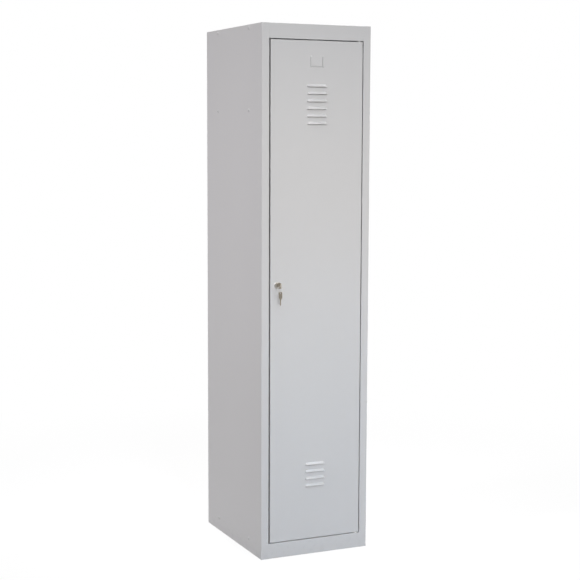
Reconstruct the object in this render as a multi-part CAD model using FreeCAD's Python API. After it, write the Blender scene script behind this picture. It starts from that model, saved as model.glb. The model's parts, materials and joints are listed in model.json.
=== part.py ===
"""Tall single-door steel clothes locker.

Sizes are in millimetres. The origin is the middle of the base, X points to
the right, Y to the back and Z up, so the door faces -Y.
"""
import FreeCAD
import Part

import math
import os

V = FreeCAD.Vector
X_AXIS = V(1, 0, 0)
Y_AXIS = V(0, 1, 0)
Z_AXIS = V(0, 0, 1)

# Overall size
width = 400.0
depth = 500.0
height = 1800.0

# Sheet steel
sheet = 0.8
bend = 1.6
seam = 0.1

# Carcass
stile_width = 27.0
stile_return = 18.0
header_height = 50.0
header_return = 24.0
kick_height = 52.0
rear_flange = 15.0
foot_flange = 30.0
side_flange = 24.0
wall_hole_radius = 4.0
wall_hole_spacing = 300.0
wall_hole_drop = 100.0

# Hat shelf
shelf_drop = 271.0
shelf_setback = 30.0
shelf_front_flange = 25.0
shelf_hem = 12.0

# Hanging rail, hung under the shelf
rail_radius = 10.0
rail_wall = 1.2
rail_drop = 72.0
rail_end_gap = 14.0
rail_cap_thick = 3.0
rail_cap_plug = 10.0
bracket_inset = 50.0
bracket_sheet = 2.0
bracket_half_width = 18.0
bracket_flange = 20.0
fit_clearance = 0.1

# Rivets
rivet_radius = 2.5
rivet_head_radius = 6.5
rivet_head_rise = 2.2
rivet_tail_radius = 3.6
rivet_tail_rise = 1.2
rivet_spacing = 280.0
rivet_clearance = 0.05
floor_rivet_drop = 7.0
back_rivets_per_side = 4

# Door
door_gap = 3.0
latch_gap = 4.8
door_depth = 18.0
door_hem = 12.0
stiffener_width = 60.0
stiffener_foot = 14.0
stiffener_rise = 12.0
stiffener_margin = 45.0

# Louvres, measured to the open lower edge of each hood
louvre_length = 73.0
louvre_height = 11.0
louvre_rise = 5.0
louvre_pitch = 24.8
upper_louvres = 6
upper_louvre_drop = 204.4
lower_louvres = 4
lower_louvre_height = 238.4

# Card holder, measured between the middles of its side strips
card_width = 44.4
card_height = 39.0
card_drop = 122.0
card_strip_width = 4.0
card_strip_rise = 2.0
card_rest = 6.2
card_lip_width = 6.0
card_lip_rise = 1.5
card_lip_inset = 5.0

# Pivots
pivot_inset = 12.0
pivot_setback = 8.0
pin_radius = 3.0
pin_clearance = 0.05
pin_head_radius = 5.0
pin_head_rise = 2.0
pin_reach = 7.0
bush_radius = 4.5
bush_flange_radius = 6.5
bush_flange = 1.4
bush_length = 6.0
thrust_clearance = 0.1
pivot_bracket_sheet = 2.0
pivot_bracket_length = 34.0
pivot_bracket_leg = 30.0

# Cam lock
lock_inset = 26.2
lock_height = 937.0
bezel_radius = 12.0
bezel_rise = 3.0
barrel_radius = 9.0
barrel_flat = 8.0
barrel_past_door = 2.0
lock_nut_flats = 24.0
lock_nut_thick = 4.0
lock_washer_radius = 13.0
lock_washer_thick = 1.0
plug_radius = 6.3
plug_clearance = 0.05
plug_recess = 0.4
plug_shank = 4.0
stop_washer_radius = 8.5
stop_washer_thick = 1.0
cam_length = 40.0
cam_width = 16.0
cam_thick = 2.0
cam_play = 0.2
cam_washer_radius = 6.0
cam_washer_thick = 1.0
cam_screw_radius = 2.5
cam_screw_head_radius = 4.5
cam_screw_head_rise = 3.0
cam_screw_length = 5.0
wafers = 4
wafer_pitch = 3.0
wafer_thick = 0.8
wafer_width = 6.0
wafer_length = 11.4
wafer_clearance = 0.1

# Keys
key_thick = 1.6
key_bow_length = 27.0
key_bow_half_width = 10.0
key_bow_corner = 4.0
key_taper = 7.5
key_shoulder_half_width = 3.8
key_hole_radius = 3.0
key_hole_from_end = 5.0
blade_length = 19.0
blade_half_width = 2.8
blade_tip = 2.0
blade_cuts = (1.4, 0.8, 1.8, 1.1)
keyway_clearance = 0.2
key_stand_off = 0.3
ring_radius = 10.3
ring_wire_radius = 0.9
ring_clearance = 0.3
spare_turn_degrees = 10.0

# Door stops
stop_sheet = 1.5
stop_tall = 25.0
stop_overlap = 12.0
stop_offset = 500.0
buffer_radius = 5.0
buffer_thick = 2.5
buffer_gap = 0.5

# Planes and positions that several pieces share
half_width = width / 2
front = -depth / 2
rear = depth / 2
opening_half = half_width - stile_width
frame_half = opening_half - seam
inner_half = half_width - sheet - seam
rear_half = half_width - rear_flange - seam
nest = max(bend, 2 * sheet) + seam
header_bottom = height - header_height
rivet_rows = (-rivet_spacing / 2, rivet_spacing / 2)

shelf_top = height - shelf_drop
shelf_front = front + shelf_setback
shelf_rear = rear - nest
flange_rivet_drop = side_flange / 2
top_rivet_height = height - flange_rivet_drop
shelf_rivet_height = shelf_top - flange_rivet_drop
floor_rivet_height = kick_height - floor_rivet_drop

rail_height = shelf_top - rail_drop
rail_half = inner_half - rail_end_gap
bracket_side = inner_half - bracket_inset
bracket_rivet_out = bracket_side + bracket_flange / 2

door_left = -opening_half + latch_gap
door_right = opening_half - door_gap
door_bottom = kick_height + door_gap
door_top = header_bottom - door_gap
door_rear = front + door_depth
pivot_x = door_right - pivot_inset
pivot_y = front + pivot_setback

lock_x = door_left + lock_inset
barrel_rear = front + max(door_depth, stile_return) + barrel_past_door
plug_front = front - bezel_rise + plug_recess
stop_washer_front = barrel_rear + cam_play
cam_front = stop_washer_front + stop_washer_thick + cam_play
cam_rear = cam_front + cam_thick
shoulder_y = plug_front - key_stand_off
keyhole_y = shoulder_y - key_bow_length + key_hole_from_end
ring_top = lock_height - key_hole_radius + ring_wire_radius + ring_clearance
ring_centre = ring_top - ring_radius
ring_bottom = ring_centre - ring_radius
spare_hole = ring_bottom + ring_wire_radius - key_hole_radius + ring_clearance


# Basic shapes

def box(x0, x1, y0, y1, z0, z1):
    """Box between two values on each axis."""
    return Part.makeBox(x1 - x0, y1 - y0, z1 - z0, V(x0, y0, z0))


def rod(radius, start, axis, length):
    """Cylinder from a start point along an axis."""
    return Part.makeCylinder(radius, length, start, axis)


def tube(outer, inner, start, axis, length):
    """Hollow cylinder from a start point along an axis."""
    return rod(outer, start, axis, length).cut(rod(inner, start, axis, length))


def joined(shapes):
    """Several overlapping shapes as one clean solid."""
    whole = shapes[0].fuse(shapes[1:]).removeSplitter()
    return whole.Solids[0] if len(whole.Solids) == 1 else whole


def mirrored(shape):
    """Copy of a shape on the other side of the middle plane."""
    return shape.mirror(V(0, 0, 0), X_AXIS)


def both_sides(shape):
    """A shape and its mirror image."""
    return [shape, mirrored(shape)]


def polygon(points):
    """Flat face from corner points in the XY plane."""
    corners = [V(u, v, 0) for u, v in points]
    return Part.Face(Part.makePolygon(corners + corners[:1]))


# Folded sheet

def left_of(a, b):
    """Unit normal on the left of the line from a to b."""
    run = (b - a).normalize()
    return V(-run.y, run.x, 0)


def fold_corner(before, corner, after, thick, radius):
    """Arc ends and middles of one fold, on the drawn line and on the other face."""
    n0 = left_of(before, corner)
    n1 = left_of(corner, after)
    turn_left = n0.x * n1.y - n0.y * n1.x > 0
    drawn = radius if turn_left else radius - thick
    other = radius - thick if turn_left else radius
    side = 1 if turn_left else -1
    middle = (n0 + n1).normalize()
    reach = side * drawn / (1 + n0.dot(n1))
    centre = corner + (n0 + n1) * reach
    near = [centre - n * (side * drawn) for n in (n0, middle, n1)]
    far = [centre - n * (side * other) for n in (n0, middle, n1)]
    return near, far


def outline_edges(start, arcs, end):
    """Lines and arcs from a start point to an end point."""
    edges = []
    at = start
    for first, middle, last in arcs:
        edges.append(Part.makeLine(at, first))
        edges.append(Part.Arc(first, middle, last).toShape())
        at = last
    edges.append(Part.makeLine(at, end))
    return edges


def folded(points, length, thick=sheet, radius=bend):
    """Sheet folded along a line, its thickness on the left, extruded upwards."""
    at = [V(u, v, 0) for u, v in points]
    corners = [fold_corner(*at[i:i + 3], thick, radius) for i in range(len(at) - 2)]
    near = [pair[0] for pair in corners]
    far = [pair[1] for pair in corners]
    first = at[0] + left_of(at[0], at[1]) * thick
    last = at[-1] + left_of(at[-2], at[-1]) * thick
    edges = outline_edges(at[0], near, at[-1])
    edges.append(Part.makeLine(at[-1], last))
    edges += outline_edges(last, [arc[::-1] for arc in far[::-1]], first)
    edges.append(Part.makeLine(first, at[0]))
    return Part.Face(Part.Wire(edges)).extrude(V(0, 0, length))


def folded_along_x(points, half):
    """Sheet folded in the YZ plane, as long as twice half, centred on X."""
    shape = folded(points, 2 * half)
    shape.Placement = FreeCAD.Placement(V(-half, 0, 0), FreeCAD.Rotation(V(1, 1, 1), 120))
    return shape


def folded_along_y(points, y0, y1):
    """Sheet folded in the XZ plane between two depths."""
    shape = folded(points, y1 - y0)
    shape.Placement = FreeCAD.Placement(V(0, y1, 0), FreeCAD.Rotation(X_AXIS, 90))
    return shape


def folded_along_z(points, z0, z1, thick=sheet, radius=bend):
    """Sheet folded in the XY plane between two heights."""
    shape = folded(points, z1 - z0, thick, radius)
    shape.translate(V(0, 0, z0))
    return shape


# Rivets

def rivet(point, axis, grip):
    """Dome-headed rivet whose head sits on a point, with its shank along an axis."""
    dome_radius = (rivet_head_radius ** 2 + rivet_head_rise ** 2) / (2 * rivet_head_rise)
    half_turn = math.asin(rivet_head_radius / dome_radius) / 2
    shoulder = dome_radius * (1 - math.cos(half_turn)) - rivet_head_rise
    dome = Part.Arc(
        V(0, 0, -rivet_head_rise),
        V(dome_radius * math.sin(half_turn), 0, shoulder),
        V(rivet_head_radius, 0, 0),
    ).toShape()
    tail = grip + rivet_tail_rise
    corners = [
        V(rivet_head_radius, 0, 0),
        V(rivet_radius, 0, 0),
        V(rivet_radius, 0, grip),
        V(rivet_tail_radius, 0, grip),
        V(rivet_radius, 0, tail),
        V(0, 0, tail),
        V(0, 0, -rivet_head_rise),
    ]
    edges = [dome] + [Part.makeLine(a, b) for a, b in zip(corners, corners[1:])]
    shape = Part.Face(Part.Wire(edges)).revolve(V(0, 0, 0), Z_AXIS, 360)
    shape.Placement = FreeCAD.Placement(point, FreeCAD.Rotation(Z_AXIS, axis))
    return shape


def rivet_hole(point, axis, length):
    """Clearance hole for a rivet, long enough to pass a sheet either way."""
    return rod(rivet_radius + rivet_clearance, point - axis * length, axis, 2 * length)


def side_holes(z):
    """Rivet holes through the right-hand side at one height."""
    return [rivet_hole(V(half_width, y, z), X_AXIS, 4 * sheet) for y in rivet_rows]


def side_rivets(z):
    """Rivets through both sides at one height."""
    grip = 2 * sheet + seam
    right = [rivet(V(half_width, y, z), -X_AXIS, grip) for y in rivet_rows]
    left = [rivet(V(-half_width, y, z), X_AXIS, grip) for y in rivet_rows]
    return Part.makeCompound(right + left)


# Carcass

def back_rivet_points():
    """Places of the back rivets on the right-hand rear flange."""
    x = half_width - rear_flange / 2
    low = kick_height + rear_flange
    high = height - side_flange - rear_flange
    step = (high - low) / (back_rivets_per_side - 1)
    return [V(x, rear, low + step * i) for i in range(back_rivets_per_side)]


def back_holes():
    """Rivet holes through the right-hand rear flange and the back panel."""
    return [rivet_hole(point, Y_AXIS, 4 * sheet) for point in back_rivet_points()]


def back_rivets():
    """Rivets that hold the back panel to both side panels."""
    right = [rivet(point, -Y_AXIS, 2 * sheet) for point in back_rivet_points()]
    return Part.makeCompound(right + [mirrored(shape) for shape in right])


def right_side_panel():
    """Side with its front stile, rear flange and a return beside the door."""
    plain = [
        (opening_half, front),
        (half_width, front),
        (half_width, rear),
        (half_width - rear_flange, rear),
    ]
    beside_door = [(opening_half, front + stile_return)] + plain
    panel = joined([
        folded_along_z(plain, 0, kick_height),
        folded_along_z(beside_door, kick_height, header_bottom),
        folded_along_z(plain, header_bottom, height),
    ])
    holes = side_holes(top_rivet_height) + side_holes(shelf_rivet_height)
    holes += side_holes(floor_rivet_height) + back_holes()
    return panel.cut(holes).Solids[0]


def bush_hole(z):
    """Hole for a pivot bush in the frame at one height."""
    return rod(bush_radius, V(pivot_x, pivot_y, z - bush_length), Z_AXIS, 2 * bush_length)


def bottom_panel():
    """Floor tray whose walls stand on a turned-in foot; its front is the kick rail."""
    front_part = [(0, kick_height), (front, kick_height), (front, 0), (front + foot_flange, 0)]
    rear_part = [(rear - foot_flange, 0), (rear, 0), (rear, kick_height), (0, kick_height)]
    side_part = [
        (inner_half - foot_flange, 0),
        (inner_half, 0),
        (inner_half, kick_height),
        (0, kick_height),
    ]
    side = folded_along_y(side_part, front + nest, rear - nest)
    tray = joined([
        folded_along_x(front_part, frame_half),
        folded_along_x(rear_part, rear_half),
        *both_sides(side),
    ])
    holes = side_holes(floor_rivet_height)
    holes += [mirrored(hole) for hole in holes]
    holes.append(bush_hole(kick_height))
    return tray.cut(holes).Solids[0]


def top_panel():
    """Roof tray; its front is the header rail that carries the upper pivot."""
    front_part = [
        (0, height),
        (front, height),
        (front, header_bottom),
        (front + header_return, header_bottom),
    ]
    rear_part = [(rear, height - rear_flange), (rear, height), (0, height)]
    side_part = [(inner_half, height - side_flange), (inner_half, height), (0, height)]
    side = folded_along_y(side_part, front + nest, rear - nest)
    tray = joined([
        folded_along_x(front_part, frame_half),
        folded_along_x(rear_part, rear_half),
        *both_sides(side),
    ])
    holes = side_holes(top_rivet_height)
    holes += [mirrored(hole) for hole in holes]
    holes.append(bush_hole(header_bottom))
    return tray.cut(holes).Solids[0]


def back_panel():
    """Flat sheet inside the rear flanges, with two holes for fixing to a wall."""
    half = half_width - nest
    panel = box(-half, half, rear - 2 * sheet, rear - sheet, kick_height + seam, height - nest)
    holes = back_holes()
    holes += [mirrored(hole) for hole in holes]
    for x in (-wall_hole_spacing / 2, wall_hole_spacing / 2):
        start = V(x, rear - 4 * sheet, height - wall_hole_drop)
        holes.append(rod(wall_hole_radius, start, Y_AXIS, 8 * sheet))
    return panel.cut(holes).Solids[0]


def shelf():
    """Hat shelf with a hemmed front and side flanges riveted to the sides."""
    front_low = shelf_top - shelf_front_flange
    front_part = [
        (0, shelf_top),
        (shelf_front, shelf_top),
        (shelf_front, front_low),
        (shelf_front + shelf_hem, front_low),
    ]
    rear_part = [(shelf_rear, shelf_top - rear_flange), (shelf_rear, shelf_top), (0, shelf_top)]
    side_part = [(inner_half, shelf_top - side_flange), (inner_half, shelf_top), (0, shelf_top)]
    side = folded_along_y(side_part, shelf_front + nest, shelf_rear - nest)
    tray = joined([
        folded_along_x(front_part, inner_half - nest),
        folded_along_x(rear_part, inner_half - nest),
        *both_sides(side),
    ])
    holes = side_holes(shelf_rivet_height)
    holes += [rivet_hole(point, Z_AXIS, 4 * sheet) for point in bracket_rivet_points()]
    holes += [mirrored(hole) for hole in holes]
    return tray.cut(holes).Solids[0]


# Hanging rail

def bracket_rivet_points():
    """Places on the shelf of the rivets of the right-hand rail bracket."""
    y = bracket_half_width - rivet_head_radius - rivet_clearance
    return [V(bracket_rivet_out, -y, shelf_top), V(bracket_rivet_out, y, shelf_top)]


def rail_bracket():
    """Right-hand bracket: a flange under the shelf and a plate with the rail hole."""
    under = shelf_top - sheet
    inside = bracket_side - bracket_sheet / 2
    centre = V(inside, 0, rail_height)
    half = bracket_half_width
    plate = joined([
        box(inside, inside + bracket_sheet, -half, half, rail_height, under),
        rod(half, centre, X_AXIS, bracket_sheet),
        box(inside, bracket_side + bracket_flange, -half, half, under - bracket_sheet, under),
    ])
    holes = [rod(rail_radius + fit_clearance, centre, X_AXIS, bracket_sheet)]
    holes += [rivet_hole(point, Z_AXIS, 8 * sheet) for point in bracket_rivet_points()]
    return plate.cut(holes).Solids[0]


def rail_rivets():
    """Rivets that hold both rail brackets under the shelf."""
    right = [rivet(point, -Z_AXIS, sheet + bracket_sheet) for point in bracket_rivet_points()]
    return Part.makeCompound(right + [mirrored(shape) for shape in right])


def hanging_rail():
    """Tube across the locker."""
    end = V(-rail_half, 0, rail_height)
    return tube(rail_radius, rail_radius - rail_wall, end, X_AXIS, 2 * rail_half)


def rail_end_caps():
    """Push-in plugs that close both ends of the rail."""
    end = V(rail_half, 0, rail_height)
    plug = rail_radius - rail_wall - fit_clearance
    cap = joined([
        rod(rail_radius, end, X_AXIS, rail_cap_thick),
        rod(plug, end - X_AXIS * rail_cap_plug, X_AXIS, rail_cap_plug + rail_cap_thick / 2),
    ])
    return Part.makeCompound(both_sides(cap))


# Door stops

def stop_height_pair():
    """Heights of the two door stops."""
    return (lock_height - stop_offset, lock_height + stop_offset)


def stop_tabs():
    """Angle tabs in the lock-side stile that reach behind the door."""
    inside = -opening_half - sheet - stop_sheet
    face = door_rear + buffer_gap + buffer_thick
    line = [
        (inside + stop_sheet, front + stile_return / 3),
        (inside + stop_sheet, face),
        (door_left + stop_overlap, face),
    ]
    half = stop_tall / 2
    radius = 2 * stop_sheet
    tabs = [folded_along_z(line, z - half, z + half, stop_sheet, radius) for z in stop_height_pair()]
    return Part.makeCompound(tabs)


def door_buffers():
    """Rubber discs on the stop tabs that the closed door meets."""
    x = door_left + stop_overlap / 2
    y = door_rear + buffer_gap
    discs = [rod(buffer_radius, V(x, y, z), Y_AXIS, buffer_thick) for z in stop_height_pair()]
    return Part.makeCompound(discs)


# Pressed hoods of the door

def hood_profile(height_across, rise):
    """Face between a flat base line and an S-shaped hood line that is open below."""
    radius = (height_across ** 2 + rise ** 2) / (4 * rise)
    half_turn = math.asin(height_across / 2 / radius) / 2
    across = radius * math.sin(half_turn)
    out = radius * (1 - math.cos(half_turn))
    lip = V(rise, 0, 0)
    middle = V(rise / 2, height_across / 2, 0)
    root = V(0, height_across, 0)
    base = V(0, 0, 0)
    edges = [
        Part.makeLine(base, lip),
        Part.Arc(lip, V(rise - out, across, 0), middle).toShape(),
        Part.Arc(middle, V(out, height_across - across, 0), root).toShape(),
        Part.makeLine(root, base),
    ]
    return Part.Face(Part.Wire(edges))


def hood(length, height_across, rise):
    """Hood over the plane y = 0, bulging to -Y, open at z = 0 and centred on X."""
    half = length / 2 - rise
    profile = hood_profile(height_across, rise)
    upright = FreeCAD.Rotation(-Y_AXIS, Z_AXIS, -X_AXIS, "XYZ")
    profile.Placement = FreeCAD.Placement(V(-half, 0, 0), upright)
    straight = profile.extrude(V(2 * half, 0, 0))
    left_end = profile.revolve(V(-half, 0, 0), Z_AXIS, -90)
    right_end = left_end.mirror(V(0, 0, 0), X_AXIS)
    return joined([straight, left_end, right_end])


def bridge(length, strip, rise):
    """Strip over the plane y = 0, bulging to -Y, open along both sides and centred."""
    ramp = 2 * rise
    level = length / 2 - ramp
    profile = hood_profile(ramp, rise)
    upright = FreeCAD.Rotation(-Y_AXIS, Z_AXIS, -X_AXIS, "XYZ")
    profile.Placement = FreeCAD.Placement(V(-strip / 2, 0, level), upright)
    upper = profile.extrude(V(strip, 0, 0))
    lower = upper.mirror(V(0, 0, 0), Z_AXIS)
    return joined([box(-strip / 2, strip / 2, -rise, 0, -level, level), upper, lower])


def pressed(panel, shape, x, z, turn=0):
    """Panel with a hood or bridge pressed out of its front at a place and turn."""
    shape.rotate(V(0, 0, 0), Y_AXIS, turn)
    outer = shape.translated(V(x, front, z))
    inner = shape.translated(V(x, front + sheet, z))
    return panel.fuse(outer).cut(inner)


def louvre_heights():
    """Heights of the open lower edges of all louvres."""
    top = height - upper_louvre_drop
    upper = [top - louvre_pitch * i for i in range(upper_louvres)]
    lower = [lower_louvre_height + louvre_pitch * i for i in range(lower_louvres)]
    return upper + lower


def with_card_holder(panel):
    """Panel with two bridge strips and a bottom lip that hold a name card."""
    middle = height - card_drop
    low = middle - card_height / 2 + card_rest
    wide = card_width - 2 * card_lip_inset
    for x in (-card_width / 2, card_width / 2):
        panel = pressed(panel, bridge(card_height, card_strip_width, card_strip_rise), x, middle)
    return pressed(panel, hood(wide, card_lip_width, card_lip_rise), 0, low, 180)


# Door

def front_edges(shape):
    """Edges around the front face of a shape."""
    nearest = shape.BoundBox.YMin + sheet / 4
    return [edge for edge in shape.Edges if edge.BoundBox.YMax < nearest]


def door_pan():
    """Plain door: a front sheet with four walls and hems turned in behind."""
    outer = box(door_left, door_right, front, door_rear, door_bottom, door_top)
    outer = outer.makeFillet(bend, front_edges(outer))
    skin = front + sheet
    inner = box(
        door_left + sheet,
        door_right - sheet,
        skin,
        door_rear - sheet,
        door_bottom + sheet,
        door_top - sheet,
    )
    inner = inner.makeFillet(bend - sheet, front_edges(inner))
    mouth = box(
        door_left + door_hem,
        door_right - door_hem,
        door_rear - 2 * sheet,
        door_rear + sheet,
        door_bottom + door_hem,
        door_top - door_hem,
    )
    return outer.cut([inner, mouth]).Solids[0]


def barrel(radius, flat, y0, y1):
    """Round lock barrel with two flats beside it."""
    round_part = rod(radius, V(lock_x, y0, lock_height), Y_AXIS, y1 - y0)
    slab = box(lock_x - flat, lock_x + flat, y0, y1, lock_height - radius, lock_height + radius)
    return round_part.common(slab)


def door_panel():
    """Door with louvres, card holder, lock hole and pivot holes."""
    panel = door_pan()
    for z in louvre_heights():
        panel = pressed(panel, hood(louvre_length, louvre_height, louvre_rise), 0, z)
    panel = with_card_holder(panel)
    round_half = barrel_radius + fit_clearance
    flat_half = barrel_flat + fit_clearance
    holes = [barrel(round_half, flat_half, front - sheet, front + 2 * sheet)]
    for z in (door_bottom, door_top):
        holes.append(rod(pin_radius + fit_clearance, V(pivot_x, pivot_y, z - 2 * sheet), Z_AXIS, 4 * sheet))
    return panel.cut(holes).removeSplitter().Solids[0]


def door_stiffener():
    """Hat channel behind the door skin, between the two sets of louvres."""
    heights = louvre_heights()
    low = heights[-1] + louvre_height + stiffener_margin
    high = heights[upper_louvres - 1] - stiffener_margin
    skin = front + sheet
    crown = skin + stiffener_rise
    half = stiffener_width / 2
    web = half - stiffener_foot
    line = [(-half, skin), (-web, skin), (-web, crown), (web, crown), (web, skin), (half, skin)]
    return folded_along_z(line, low, high)


# Pivots

def pivot_bracket(level, up):
    """Angle that stiffens one hinge corner of the door; up is its free direction."""
    outside = door_right - sheet
    near = front + nest
    far = door_rear - nest
    plate_z = sorted((level, level + up * pivot_bracket_sheet))
    leg_z = sorted((level, level + up * pivot_bracket_leg))
    plate = box(outside - pivot_bracket_length, outside, near, far, *plate_z)
    leg = box(outside - pivot_bracket_sheet, outside, near, far, *leg_z)
    start = V(pivot_x, pivot_y, level - up * pivot_bracket_sheet)
    hole = rod(pin_radius + fit_clearance, start, V(0, 0, up), pivot_bracket_leg)
    return joined([plate, leg]).cut(hole).Solids[0]


def end_edges(shape, z):
    """Round edges of an upright rod at one of its ends."""
    flat = [edge for edge in shape.Edges if edge.BoundBox.ZLength < pin_radius / 10]
    return [edge for edge in flat if abs(edge.BoundBox.Center.z - z) < pin_radius / 10]


def pivot_pin(level, up):
    """Headed pin through a bracket; up points from the frame into the door."""
    inside = level + up * (sheet + pivot_bracket_sheet)
    outside = level - up * (door_gap + pin_reach)
    length = abs(inside - outside)
    shank = rod(pin_radius, V(pivot_x, pivot_y, outside), V(0, 0, up), length)
    shank = shank.makeChamfer(pin_radius / 4, end_edges(shank, outside))
    head = rod(pin_head_radius, V(pivot_x, pivot_y, inside), V(0, 0, up), pin_head_rise)
    return joined([shank, head])


def pivot_bush(level, out):
    """Flanged bush in the frame; out points from its flange into the frame."""
    centre = V(pivot_x, pivot_y, level)
    inside = V(0, 0, out)
    body = joined([
        rod(bush_flange_radius, centre - inside * bush_flange, inside, bush_flange),
        rod(bush_radius, centre - inside * bush_flange, inside, bush_flange + bush_length),
    ])
    bore = rod(pin_radius + pin_clearance, centre - inside * bush_length, inside, 3 * bush_length)
    return body.cut(bore).Solids[0]


def thrust_washer():
    """Washer on the lower pin that carries the door on the lower bush."""
    start = kick_height + bush_flange + thrust_clearance
    bore = pin_radius + fit_clearance
    return tube(bush_flange_radius, bore, V(pivot_x, pivot_y, start), Z_AXIS, door_bottom - start)


# Cam lock

def at_lock(y):
    """Point on the lock's axis."""
    return V(lock_x, y, lock_height)


def lock_housing():
    """Bezel and flat-sided barrel with a bore for the plug."""
    bezel = rod(bezel_radius, at_lock(front), -Y_AXIS, bezel_rise)
    bezel = bezel.makeFillet(bezel_rise / 2, front_edges(bezel))
    body = joined([bezel, barrel(barrel_radius, barrel_flat, front - bezel_rise / 2, barrel_rear)])
    length = barrel_rear - front + 2 * bezel_rise
    bore = rod(plug_radius + plug_clearance, at_lock(front - bezel_rise), Y_AXIS, length)
    return body.cut(bore).Solids[0]


def hexagon(flats, y0, y1):
    """Hexagonal bar around the lock's axis."""
    corner = flats / 2 / math.cos(math.pi / 6)
    turns = [math.pi / 3 * i for i in range(6)]
    points = [(corner * math.cos(turn), corner * math.sin(turn)) for turn in turns]
    shape = polygon(points).extrude(V(0, 0, y1 - y0))
    shape.Placement = FreeCAD.Placement(at_lock(y1), FreeCAD.Rotation(X_AXIS, 90))
    return shape


def lock_washer():
    """Washer between the door skin and the lock nut."""
    bore = barrel_radius + fit_clearance
    return tube(lock_washer_radius, bore, at_lock(front + sheet), Y_AXIS, lock_washer_thick)


def lock_nut():
    """Hexagonal nut that clamps the housing to the door."""
    y0 = front + sheet + lock_washer_thick
    nut = hexagon(lock_nut_flats, y0, y0 + lock_nut_thick)
    return nut.cut(rod(barrel_radius + fit_clearance, at_lock(y0), Y_AXIS, lock_nut_thick))


def bar_at_lock(half_x, half_z, y0, y1):
    """Rectangular bar on the lock's axis."""
    return box(lock_x - half_x, lock_x + half_x, y0, y1, lock_height - half_z, lock_height + half_z)


def keyway(y0, y1):
    """Slot for the key's blade between two depths."""
    return bar_at_lock(key_thick / 2 + keyway_clearance, blade_half_width + keyway_clearance, y0, y1)


def wafer_places():
    """Front faces of the wafers along the plug."""
    start = plug_front + wafer_pitch
    return [start + wafer_pitch * i for i in range(wafers)]


def lock_plug():
    """Turning core with a keyway, wafer slots and a square shank for the cam."""
    core = rod(plug_radius, at_lock(plug_front), Y_AXIS, barrel_rear - plug_front)
    shank = bar_at_lock(plug_shank, plug_shank, barrel_rear - cam_thick, cam_rear)
    body = joined([core, shank])
    keyway_end = shoulder_y + blade_length + 2 * keyway_clearance
    cuts = [keyway(plug_front - plug_recess, keyway_end)]
    slot_half = wafer_width / 2 + wafer_clearance
    slot_length = wafer_thick + 2 * wafer_clearance
    for y in wafer_places():
        cuts.append(bar_at_lock(slot_half, 2 * plug_radius, y, y + slot_length))
    cuts.append(rod(cam_screw_radius + fit_clearance, at_lock(cam_rear), -Y_AXIS, cam_screw_length))
    return body.cut(cuts).Solids[0]


def lock_wafers():
    """Sprung plates in the plug, lifted by the key so that the plug can turn."""
    core = rod(plug_radius, at_lock(plug_front), Y_AXIS, barrel_rear - plug_front)
    plates = []
    for place in wafer_places():
        y0 = place + wafer_clearance
        y1 = y0 + wafer_thick
        plate = bar_at_lock(wafer_width / 2, wafer_length / 2, y0, y1).common(core)
        plates.append(plate.cut(keyway(y0, y1)).Solids[0])
    return Part.makeCompound(plates)


def square_hole(y0, y1):
    """Square hole that fits over the plug's shank."""
    half = plug_shank + fit_clearance
    return bar_at_lock(half, half, y0, y1)


def stop_washer():
    """Washer between the barrel and the cam, turned by the plug."""
    y1 = stop_washer_front + stop_washer_thick
    disc = rod(stop_washer_radius, at_lock(stop_washer_front), Y_AXIS, stop_washer_thick)
    return disc.cut(square_hole(stop_washer_front, y1))


def lock_cam():
    """Flat tongue that hangs down when unlocked and turns behind the stile."""
    half = cam_width / 2
    tongue = joined([
        rod(half, at_lock(cam_front), Y_AXIS, cam_thick),
        box(lock_x - half, lock_x + half, cam_front, cam_rear, lock_height - cam_length, lock_height),
    ])
    low = [edge for edge in tongue.Edges if edge.BoundBox.ZMax < lock_height - cam_length + half / 4]
    corners = [edge for edge in low if edge.BoundBox.YLength > cam_thick / 2]
    tongue = tongue.makeFillet(half / 2, corners)
    return tongue.cut(square_hole(cam_front, cam_rear)).Solids[0]


def cam_washer():
    """Washer under the head of the cam screw."""
    bore = cam_screw_radius + fit_clearance
    return tube(cam_washer_radius, bore, at_lock(cam_rear), Y_AXIS, cam_washer_thick)


def cam_screw():
    """Screw that holds the cam on the plug, with a cross slot in its head."""
    under = cam_rear + cam_washer_thick
    length = cam_washer_thick + cam_screw_length - fit_clearance
    shank = rod(cam_screw_radius, at_lock(under), -Y_AXIS, length)
    head = rod(cam_screw_head_radius, at_lock(under), Y_AXIS, cam_screw_head_rise)
    rim = [edge for edge in head.Edges if edge.BoundBox.YMin > under + cam_screw_head_rise / 2]
    head = head.makeFillet(cam_screw_head_rise / 3, rim)
    top = under + cam_screw_head_rise
    arm = cam_screw_head_radius * 0.6
    slot = cam_screw_head_radius * 0.12
    cross = [bar_at_lock(arm, slot, top - slot * 2, top), bar_at_lock(slot, arm, top - slot * 2, top)]
    return joined([shank, head]).cut(cross).Solids[0]


# Keys

def blade_points():
    """Outline of the blade from the upper shoulder round the tip to the lower one."""
    half = blade_half_width
    tip = -blade_length
    points = [
        (0, half),
        (tip + blade_tip, half),
        (tip, half / 4),
        (tip, -half / 4),
        (tip + blade_tip, -half),
    ]
    pitch = (blade_length - 2 * blade_tip) / (len(blade_cuts) + 0.5)
    flank = pitch * 0.4
    for i, cut in enumerate(blade_cuts):
        at = tip + blade_tip + pitch * (i + 0.75)
        points += [(at - flank, -half), (at, cut - half), (at + flank, -half)]
    points.append((0, -half))
    return points


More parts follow.
